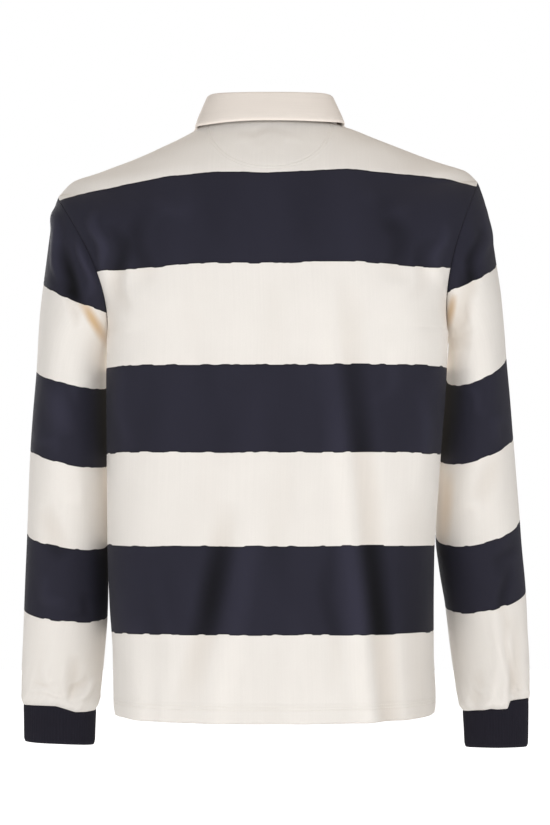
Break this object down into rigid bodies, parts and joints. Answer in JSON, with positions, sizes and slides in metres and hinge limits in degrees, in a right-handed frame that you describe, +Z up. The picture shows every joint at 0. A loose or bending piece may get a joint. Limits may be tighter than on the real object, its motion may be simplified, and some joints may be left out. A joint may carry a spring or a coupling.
{
  "type": "long-sleeved rugby-style polo shirt",
  "caption": "Heavy jersey polo shirt filled out as on a figure: twill collar folded down, short buttoned front opening, long set-in sleeves with ribbed cuffs, straight hem, navy bands on cream.",
  "frame": {"origin": "middle of the neck at the height of the shoulder seams' high points, where the wearer's neck and shoulders carry the shirt", "axes": "+Z up along the body, -Y out of the shirt's back, +Y out of its buttoned front, +X to the wearer's right"},
  "size_m": [0.6024, 0.2611, 0.76],
  "materials": {
    "cream_jersey": "matt heavy cotton jersey, cream with navy bands",
    "cream_twill": "matt cotton twill",
    "navy_rib": "matt fine rib knit",
    "button": "satin cast plastic"
  },
  "bodies": {
    "root": {"back": "cream_jersey", "front": "cream_jersey", "sleeve_left": "cream_jersey", "sleeve_right": "cream_jersey", "half_moon": "cream_jersey", "collar": "cream_twill", "placket_over": "cream_twill", "placket_under": "cream_twill", "cuff_left": "navy_rib", "cuff_right": "navy_rib", "button_1": "button", "button_2": "button", "button_3": "button"}
  },
  "joints": []
}
